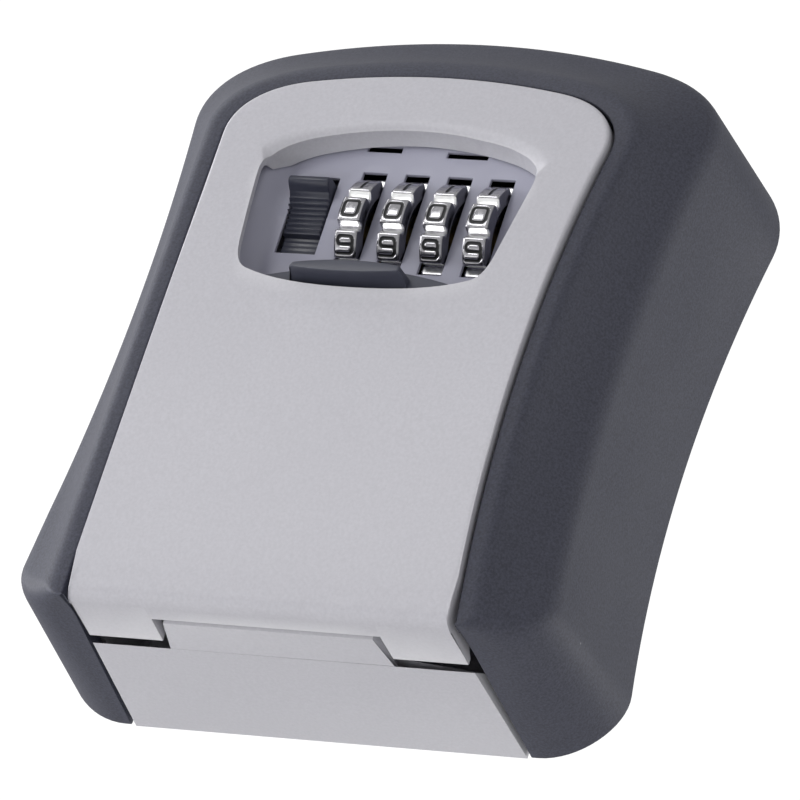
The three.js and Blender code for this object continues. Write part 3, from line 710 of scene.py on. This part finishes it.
def dial_panel():
    """A dished plate with slots for the wheels and the lever, and two narrow slots at its top edge."""
    holes = [(RELEASE_X[0] - 0.3, RELEASE_X[1] + 0.3, RELEASE_Z[0] - 0.3, RELEASE_Z[1] + 0.4)]
    for i in range(WHEELS):
        x = WHEEL_X + i * WHEEL_PITCH
        holes.append((x - WHEEL_SLOT_HALF, x + WHEEL_SLOT_HALF, AXLE_Z - 8.9, AXLE_Z + 9.1))
    holes += TOP_SLOTS
    xs = grid_lines([v for h in holes for v in h[:2]] + PANEL_LINES_X, 1.0)
    zs = grid_lines([v for h in holes for v in h[2:]] + PANEL_LINES_Z + PANEL_CREASE, 2.5)
    points = []
    for z in zs:
        for x in xs:
            y = PANEL_Y - ramp(abs(x - WINDOW_X))
            if z == PANEL_CREASE[1]:
                y -= 0.1
            points.append((x, max(y, front_y(z) + 2.35), z))
    faces = []
    for r in range(len(zs) - 1):
        for c in range(len(xs) - 1):
            x, z = (xs[c] + xs[c + 1]) / 2, (zs[r] + zs[r + 1]) / 2
            if any(x0 < x < x1 and z0 < z < z1 for x0, x1, z0, z1 in holes):
                continue
            a = r * len(xs) + c
            faces.append((a, a + 1, a + 1 + len(xs), a + len(xs)))
    panel = made("dial_panel_face", points, faces, PANEL, "door", "panel_grey", ["dial_panel"], 40)
    thick = panel.modifiers.new("thickness", "SOLIDIFY")
    thick.thickness = PANEL_WALL * MM
    thick.offset = -1
    soften = panel.modifiers.new("edges", "BEVEL")
    soften.width = 0.12 * MM
    soften.segments = 2
    soften.angle_limit = math.radians(50)
    baked(panel)
    points, faces = joined_pieces([cheek(-10.8, -9.2), cheek(19.1, 20.7)])
    made("axle_cheeks", points, faces, PANEL, "door", "panel_grey")


def cheek(x0, x1):
    """A bearing plate for the wheel axle, behind the panel."""
    profile = [
        (PANEL_Y + 0.75, AXLE_Z - 5), (PANEL_Y + 0.75, AXLE_Z + 5), (AXLE_Y + 2, AXLE_Z + 3.2),
        (AXLE_Y + 3.4, AXLE_Z), (AXLE_Y + 2, AXLE_Z - 3.2),
    ]
    rings = [[(x, y, z) for y, z in profile] for x in (x0, x1)]
    points, faces = lofted(rings, closed=False)
    return points, faces + end_caps(rings)


def baked(obj):
    """Applies an object's modifiers, and smooths its faces again."""
    graph = bpy.context.evaluated_depsgraph_get()
    mesh = bpy.data.meshes.new_from_object(obj.evaluated_get(graph))
    obj.modifiers.clear()
    obj.data = mesh
    mesh.shade_smooth()
    mesh.set_sharp_from_angle(angle=math.radians(38))


# ---------------------------------------------------------------- number wheels
W, H = 1.2, 1.34  # half the width and half the height of a digit
STROKES = [
    [[(-W, 0), (-W, H), (W, H), (W, -H), (-W, -H), (-W, 0)]],
    [[(0, H), (0, -H)]],
    [[(-W, H), (W, H), (W, 0), (-W, 0), (-W, -H), (W, -H)]],
    [[(-W, H), (W, H), (W, -H), (-W, -H)], [(-W * 0.5, 0), (W, 0)]],
    [[(-W, H), (-W, 0), (W, 0)], [(W, H), (W, -H)]],
    [[(W, H), (-W, H), (-W, 0), (W, 0), (W, -H), (-W, -H)]],
    [[(W, H), (-W, H), (-W, -H), (W, -H), (W, 0), (-W, 0)]],
    [[(-W, H), (W, H), (W, -H)]],
    [[(-W, 0), (-W, H), (W, H), (W, -H), (-W, -H), (-W, 0), (W, 0)]],
    [[(W, 0), (-W, 0), (-W, H), (W, H), (W, -H), (-W, -H)]],
]
STROKE_HALF, STROKE_CORNER = 0.27, 0.62
PAD_HALF_ANGLE, VALLEY_ANGLE = 13.2, 17.5
FAR = 9.0  # further than any digit's stroke


def digit_lines(digit):
    """The digit's strokes as short straight pieces, with rounded corners."""
    pieces = []
    for stroke in STROKES[digit]:
        line = rounded([(x, 0, z) for x, z in stroke], [STROKE_CORNER] * len(stroke))
        pieces += [((a.x, a.z), (b.x, b.z)) for a, b in zip(line, line[1:])]
    return pieces


def distance_to(pieces, x, z):
    """The distance from a place to the nearest of some straight pieces."""
    best = FAR
    for (ax, az), (bx, bz) in pieces:
        dx, dz = bx - ax, bz - az
        length = dx * dx + dz * dz
        t = 0 if length < 1e-9 else max(0, min(1, ((x - ax) * dx + (z - az) * dz) / length))
        best = min(best, math.hypot(x - ax - t * dx, z - az - t * dz))
    return best


def rim_point(lines, offset, x):
    """The radius, ink and painted flank highlight of a wheel's rim at x, offset degrees from the middle of a
    digit's pad.
    """
    angle = abs(offset)
    pad = 1 - clamped((angle - PAD_HALF_ANGLE) / (VALLEY_ANGLE - PAD_HALF_ANGLE))
    shoulder = smooth(angle, PAD_HALF_ANGLE - 0.9, PAD_HALF_ANGLE)
    side = smooth(abs(x), WHEEL_HALF - 0.28, WHEEL_HALF)
    along = math.radians(offset) * WHEEL_RADIUS
    gap = distance_to(lines, x, along) if angle <= PAD_HALF_ANGLE else FAR
    ink = 1 - smooth(gap, STROKE_HALF - 0.07, STROKE_HALF + 0.07)
    groove = 0.2 * (1 - smooth(gap, STROKE_HALF - 0.1, STROKE_HALF + 0.08))
    flat = WHEEL_RADIUS * (1 / max(0.9, math.cos(math.radians(offset) * 0.7)) - 1) * -0.6
    tooth = (WHEEL_RADIUS + flat - WHEEL_ROOT) * pad - 0.14 * shoulder * pad
    radius = WHEEL_ROOT + tooth - 0.2 * side - groove
    flank = smooth(angle, PAD_HALF_ANGLE, PAD_HALF_ANGLE + 0.3)
    # How much of the flank's painted highlight each place gets.
    bare = flank * (1 - smooth(angle, 16.6, VALLEY_ANGLE))
    return radius, ink, bare


def wheel_surface():
    """Rows of (x, angle, radius, ink, painted flank highlight) for the toothed rim of a wheel, shared by all
    the wheels.
    """
    xs = [-WHEEL_HALF, -WHEEL_HALF + 0.06]
    xs += [-1.7 + 3.4 * k / 26 for k in range(27)]
    xs += [WHEEL_HALF - 0.06, WHEEL_HALF]
    pad_offsets = [-PAD_HALF_ANGLE + 2 * PAD_HALF_ANGLE * k / 30 for k in range(31)]
    flank = [PAD_HALF_ANGLE + 0.35, 14.6, 16, 17.1, VALLEY_ANGLE]
    offsets = [-18] + [-a for a in reversed(flank)] + pad_offsets + flank
    rows = []
    for digit in range(10):
        lines = digit_lines(digit)
        for offset in offsets:
            rows.append([(x, 36 * digit + offset, *rim_point(lines, offset, x)) for x in xs])
    return rows


def number_wheel(i, rows):
    """One wheel: the shared rim, with recessed sides down to the bore."""
    middle = WHEEL_X + i * WHEEL_PITCH
    ridge = -WHEEL_HALF - 0.12
    sides = [(-WHEEL_HALF, 7.9), (ridge, 7.7), (ridge, 7.3), (-WHEEL_HALF, 7.1), (-WHEEL_HALF, 3.55)]
    blank, full = [0.0] * len(sides), [1.0] * len(sides)
    rings = []
    marks = {"ink": [], "bare": [], "side": []}
    for row in rows:
        angle = math.radians(row[0][1])
        section = list(reversed(sides)) + [(x, radius) for x, _, radius, *_ in row]
        section += [(-x, radius) for x, radius in sides]
        ring = []
        for x, radius in section:
            ring.append((middle + x, AXLE_Y - radius * math.cos(angle), AXLE_Z + radius * math.sin(angle)))
        rings.append(ring)
        marks["ink"] += blank + [ink for *_, ink, _ in row] + blank
        # The flank mark is a painted highlight.
        marks["bare"] += blank + [bare for *_, bare in row] + blank
        # The side mark is painted shade on the wheel's sides.
        marks["side"] += full + [smooth(abs(x), WHEEL_HALF - 0.1, WHEEL_HALF) for x, *_ in row] + full
    points, faces = lofted(rings)
    name = f"number_wheel_rim_{i + 1}"
    mesh = bpy.data.meshes.new(name)
    mesh.from_pydata([tuple(c * MM for c in p) for p in points], [], faces)
    for key, values in marks.items():
        mesh.attributes.new(key, "FLOAT", "POINT").data.foreach_set("value", values)
    return finished(name, mesh, DIGITS, f"wheel_{i + 1}", "chrome", [f"number_wheel_{i + 1}"], 50)


# ---------------------------------------------------------------- lever
RIB_PITCH = 0.885
LEVER_BACK = -28.9
LEVER_STEPS = 116
OVERHANG = {-1: 0.5, 1: 0.1}  # how far the lever's grip passes the slot's edge, on the left and on the right


def lever_profile():
    """The lever's outline from the side: the foot, the ribbed hollow, the top lip and the back."""
    z0, z1 = RELEASE_Z[0], RELEASE_Z[1] - 1.1
    foot_top, hollow_top = z0 + 3.1, z0 + 10.2
    face = [
        (z0, -29.7), (foot_top, -29.7), (z0 + 3.25, -30.55), (z0 + 6, -30.65), (z0 + 8, -30.85),
        (z0 + 9.3, -31.3), (hollow_top, -32.2), (z1, -33),
    ]
    line = []
    for k in range(LEVER_STEPS + 1):
        z = z0 + (hollow_top - z0) * k / LEVER_STEPS
        wave = 1 - abs(math.sin(math.pi * (z - z0 - 0.4) / RIB_PITCH))
        height = 0.06 if z < foot_top else 0.36 * (1 - smooth(z, hollow_top - 0.7, hollow_top))
        line.append((interpolated(face, z) - height * wave, z))
    line += bezier3((-32.2, hollow_top), (-33.4, z0 + 10.7), (-34.1, z0 + 11.2), (-33.7, z1 - 0.4), 14)[1:]
    line += bezier3((-33.7, z1 - 0.4), (-33.5, z1 - 0.1), (-33.1, z1), (-32.6, z1), 14)[1:]
    return line + [(-31.2, z1), (LEVER_BACK, z1), (LEVER_BACK, z0)]


def release_lever():
    """A thumb lever with a rounded top lip, a ribbed hollow and a plain foot that goes behind the panel."""
    line = lever_profile()
    insets = [(0.0, 0.32), (0.06, 0.15), (0.16, 0.05), (0.32, 0.0)]
    rings = []
    for side, edge, steps in ((-1, RELEASE_X[0], insets), (1, RELEASE_X[1], reversed(insets))):
        for dx, back in steps:
            ring = []
            for y, z in line:
                wide = OVERHANG[side] * smooth(-y, 30.9, 31.2)
                ring.append((edge + side * (wide - dx), min(y + back, LEVER_BACK), z))
            rings.append(ring)
    points, faces = lofted(rings, closed=False)
    faces += end_caps(rings)
    return made("release_lever_grip", points, faces, LEVER, "latch", "lever_plastic", ["release_lever"], 50)


# ---------------------------------------------------------------- shutter
SHUTTER_TRAVEL = 27.4
# How far the sheet lies behind the door's front, and how thick it is.
SHEET_DEPTH, SHEET_WALL = 1.25, 0.8
SHEET_MIDDLE = Vector((0, -14))
SHEET_STEPS = 8
LIP_FRONT, LIP_REAR = -40.8, -37.0
LIP_LEFT, LIP_RIGHT = -10.5, 7.75
LIP_STEPS = 40


def shutter_outline():
    """The edge of the sheet: square below, arched like the window above."""
    half, low = 24.5, -29.2
    arch = [(x, z - SHUTTER_TRAVEL) for x, z in window_half(0.7, (10, 6, 14, 12, 10))]
    arch = [(x, z) for x, z in arch if z > -8.2]
    right = [(0, low), (10, low), (20, low), (half - 0.8, low), (half - 0.2, low + 0.2)]
    right += [(half, low + 0.8 + k * 2.6) for k in range(8)] + [(half, -9.2)] + arch
    return [(x + (WINDOW_X if z > -8.3 else 0), z) for x, z in both_halves(right, True)]


def sheet_layers(ring, depth):
    """Smaller and smaller copies of the sheet's edge, which cover one of its faces."""
    layers = [ring]
    for k in range(1, SHEET_STEPS):
        t = 1 - k / SHEET_STEPS
        layer = []
        for x, _, z in ring:
            px, pz = SHEET_MIDDLE.x * (1 - t) + x * t, SHEET_MIDDLE.y * (1 - t) + z * t
            layer.append((px, front_y(pz) + depth, pz))
        layers.append(layer)
    return layers


def weather_shutter():
    """The curved sheet in its track, arched like the window, with the finger lip at its top."""
    back = SHEET_DEPTH + SHEET_WALL
    rounding = [(0.5, SHEET_DEPTH), (0.12, SHEET_DEPTH), (0.0, SHEET_DEPTH + 0.12)]
    rounding += [(0.0, back - 0.12), (0.12, back), (0.5, back)]
    rings = []
    for inset, depth in rounding:
        ring = []
        for place in shutter_outline():
            p = Vector(place) - (Vector(place) - SHEET_MIDDLE).normalized() * inset
            ring.append((p.x, front_y(p.y) + depth, p.y))
        rings.append(ring)
    layers = list(reversed(sheet_layers(rings[0], SHEET_DEPTH))) + rings[1:-1]
    layers += sheet_layers(rings[-1], back)
    points, faces = lofted(layers, closed=False)
    pieces = joined_pieces([(points, faces + end_caps(layers)), shutter_lip()])
    return made("shutter_blade", *pieces, SHUTTER, "shutter", "shutter_plastic", ["weather_shutter"], 40)


def shutter_lip():
    """The finger lip: an arched front face, a thin lower edge and an underside that curves into the sheet."""
    window = both_halves(window_half(-0.25, (6, 6, 6, 12, 24)), True)
    arch = sorted((x + WINDOW_X, z) for x, z in window if z > 16)
    rings = []
    for k in range(LIP_STEPS + 1):
        t = k / LIP_STEPS
        x = LIP_LEFT + (LIP_RIGHT - LIP_LEFT) * (0.5 - 0.5 * math.cos(math.pi * t))
        from_left, from_right = x - LIP_LEFT, LIP_RIGHT - x
        top = interpolated(arch, x) - SHUTTER_TRAVEL
        top -= end_round(from_left, 0.85) + end_round(from_right, 0.2)
        low = 1.9 + 0.006 * (x + 2.5) ** 2 + end_round(from_left, 0.4)
        front = LIP_FRONT + end_round(from_left, 0.5) + end_round(from_right, 0.25)
        slant = -0.9 * (1 - t) + 0.45 * t
        section = [(LIP_REAR, top)]
        section += corner_arc((LIP_REAR, top, 0), (front, top, 0), (front, low, 0), 0.3, 5)
        section += corner_arc((front, top, 0), (front, low, 0), (LIP_REAR, low, 0), 0.09, 3)
        section += bezier3(
            (front + 0.5, low), (front + 2.2, low), (LIP_REAR - 0.8, low - 0.1), (LIP_REAR, 1.3), 8,
        )
        rings.append([(x + slant * (v[0] - front) / (LIP_REAR - front), v[0], v[1]) for v in section])
    points, faces = lofted(rings, closed=False)
    return points, faces + end_caps(rings)


# ---------------------------------------------------------------- finer copies of the other CAD pieces
TAB_FOOT = -21.8  # where the tray's tab leaves the apron
APRON_SLOPE_BACK = -19.4  # where the slope behind the apron's front edge ends
SCREW_SIDES = 48


def refined(node, material, body, slot, width, reshape=None):
    """A copy of a CAD node with its flat faces merged and its edges rounded by width.

    reshape moves its corners first.
    """
    mesh = nodes[node].data.copy()
    shape = bmesh.new()
    shape.from_mesh(mesh)
    bmesh.ops.remove_doubles(shape, verts=shape.verts, dist=1e-6)
    if reshape:
        for vert in shape.verts:
            vert.co = Vector(reshape(*(vert.co / MM))) * MM
    bmesh.ops.dissolve_limit(shape, angle_limit=math.radians(1), verts=shape.verts, edges=shape.edges)
    sharp = [e for e in shape.edges if len(e.link_faces) == 2 and e.calc_face_angle(0) > math.radians(35)]
    bmesh.ops.bevel(
        shape, geom=sharp, offset=width * MM, segments=2, profile=0.5, affect="EDGES", clamp_overlap=True,
    )
    shape.to_mesh(mesh)
    shape.free()
    piece = finished(node + "_fine", mesh, material, body, slot, [node], 32)
    piece.modifiers.new("flat_faces", "WEIGHTED_NORMAL").keep_sharp = True
    return piece


def reshaped_tray(x, y, z):
    """Slopes the apron's front edge back to a thin edge, and brings the tab's foot flush with the apron."""
    if abs(y - TAB_FOOT) < 0.05 and abs(z - floor_z(y)) < 0.1 and abs(x) < 19:
        return x, y, floor_z(y)
    if abs(x) > 18 and y < -22.7 and -54.5 < z < -53:
        return x, APRON_SLOPE_BACK, z
    return x, y, z


def screw(name, node, head, seat, way, body):
    """A pan-head screw with a cross recess.

    head is the head's radius and seat its height; way points from the head's top to the tip.
    """
    low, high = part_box(node)
    centre = (low + high) / 2 / MM
    axis = Vector(way)
    across = axis.orthogonal().normalized()
    other = axis.cross(across)
    length = max((high - low)[k] / MM for k in range(3) if abs(axis[k]) > 0.5)
    top = centre - axis * length / 2
    angles = [2 * math.pi * (k + 0.5) / SCREW_SIDES for k in range(SCREW_SIDES)]
    rings = []
    for share in (0.0, 0.12, 0.24, 0.34, 0.44, 0.54, 0.64, 0.76, 0.88, 0.96, 1.0):
        ring = []
        for a in angles:
            x, z = share * math.cos(a), share * math.sin(a)
            in_cross = min(abs(x), abs(z)) < 0.13 and max(abs(x), abs(z)) < 0.58
            drop = seat * 0.35 * share ** 4 + (seat * 0.6 if in_cross else 0)
            ring.append(top + axis * drop + (across * x + other * z) * head)
        rings.append(ring)
    shank = 0.48 * head
    for radius, depth in ((head, seat), (shank, seat), (shank, length - 0.6), (shank * 0.35, length)):
        place = top + axis * depth
        rings.append([place + (across * math.cos(a) + other * math.sin(a)) * radius for a in angles])
    points, faces = lofted(rings, closed=False)
    faces.append(end_caps(rings)[1])
    return made(name, points, faces, SCREW, body, "screw_steel", [node], 30)


# ---------------------------------------------------------------- stage
AMBIENT = 0.55
LIGHT_DISTANCE = 1.2  # in metres
# Name, direction from the object, size in metres, power in watts, and whether it shows in reflections.
LIGHTS = [
    ("left", (-1, -0.1, 0), 0.7, 9.5, True),
    ("left_front", (-0.85, -0.5, 0), 0.7, 1.6, True),
    ("key_left", (-0.38, -0.88, 0.29), 0.42, 2.0, True),
    ("low_left", (-0.45, -0.62, -0.65), 0.35, 2.8, False),
    ("right_back", (0.8, 0.6, 0.1), 0.6, 3.8, True),
    ("top_left", (-0.7, -0.1, 0.7), 0.7, 2.6, True),
]


def area_light(name, direction, size, power, glossy):
    """A soft round light in the direction from the object's middle; size in metres, power in watts."""
    middle = Vector((0, -0.02, 0))
    data = bpy.data.lights.new(name, "AREA")
    data.shape = "DISK"
    data.size = size
    data.energy = power
    light = bpy.data.objects.new(name, data)
    place = middle + Vector(direction).normalized() * LIGHT_DISTANCE
    light.location = place
    light.rotation_euler = (middle - place).to_track_quat("-Z", "Y").to_euler()
    light.visible_glossy = glossy
    bpy.context.scene.collection.objects.link(light)


def placed(name, mesh, material):
    """Puts a mesh of one material into the scene."""
    mesh.materials.append(material)
    obj = bpy.data.objects.new(name, mesh)
    bpy.context.scene.collection.objects.link(obj)
    return obj


def make_stage():
    """A plain pale floor, an even sky, and a white dome behind it."""
    pale = Nodes("stage_white")
    tone = pale.mix(pale.noise(3, 2), grey(0.86), grey(0.9))
    pale.set(Base_Color=tone, Roughness=0.9)
    mesh = bpy.data.meshes.new("floor")
    half, level = 6.0, -0.8
    corners = [(-half, -half, level), (half, -half, level), (half, half, level), (-half, half, level)]
    mesh.from_pydata(corners, [], [(0, 1, 2, 3)])
    floor = placed("floor", mesh, pale.material)
    world = bpy.data.worlds.new("studio")
    world.use_nodes = True
    sky = world.node_tree.nodes["Background"]
    sky.inputs["Color"].default_value = grey(1)
    sky.inputs["Strength"].default_value = AMBIENT
    bpy.context.scene.world = world
    bpy.context.scene.view_settings.view_transform = "Standard"
    backdrop()


def backdrop():
    """A white dome round the stage, seen only straight from the camera."""
    shape = bmesh.new()
    bmesh.ops.create_icosphere(shape, subdivisions=4, radius=5)
    mesh = bpy.data.meshes.new("backdrop")
    shape.to_mesh(mesh)
    shape.free()
    glow = Nodes("backdrop_white")
    glow.set(Base_Color=grey(0), Emission_Color=grey(1), Emission_Strength=1.05)
    dome = placed("backdrop", mesh, glow.material)
    dome.visible_diffuse = False
    dome.visible_glossy = False
    dome.visible_transmission = False
    dome.visible_shadow = False


# ---------------------------------------------------------------- build
make_camera()
make_stage()
for light in LIGHTS:
    area_light(*light)

case_shell()
front_door()
dial_panel()
surface = wheel_surface()
for i in range(WHEELS):
    number_wheel(i, surface)
release_lever()
weather_shutter()

refined("inner_tray", GREY, "case", "light_grey", 0.5, reshaped_tray)
spring = refined("latch_spring", SPRING, "door", "steel", 0.02)
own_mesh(spring)
for node, material, body, slot, width in (
    ("strike_plate", STEEL, "case", "steel", 0.15),
    ("mechanism_cover", BLACK, "door", "black_plastic", 0.3),
    ("shutter_guide", STEEL, "door", "steel", 0.1),
    ("detent_spring", SPRING, "door", "spring_steel", 0.08),
    ("reset_lever", BLACK, "reset", "black_plastic", 0.2),
    ("clutch_bar", STEEL, "clutch", "steel", 0.2),
    ("latch_bolt", STEEL, "latch", "steel", 0.15),
):
    refined(node, material, body, slot, width)

for i in range(1, 5):
    screw(f"shell_screw_head_{i}", f"shell_screw_{i}", 2.5, 1.2, (0, -1, 0), "case")
    screw(f"mechanism_screw_head_{i}", f"mechanism_screw_{i}", 1.7, 1.0, (0, -1, 0), "door")
for i in range(1, 3):
    screw(f"strike_screw_head_{i}", f"strike_screw_{i}", 2.2, 1.1, (0, 0, 1), "case")
    screw(f"guide_screw_head_{i}", f"guide_screw_{i}", 1.6, 0.9, (0, -1, 0), "door")

for names, material in (
    (["hinge_pin", "wheel_axle", "axle_clip_1", "axle_clip_2"], STEEL),
    ([f"code_cam_{i + 1}" for i in range(WHEELS)], BRASS),
):
    for name in names:
        nodes[name].data.materials.clear()
        nodes[name].data.materials.append(material)
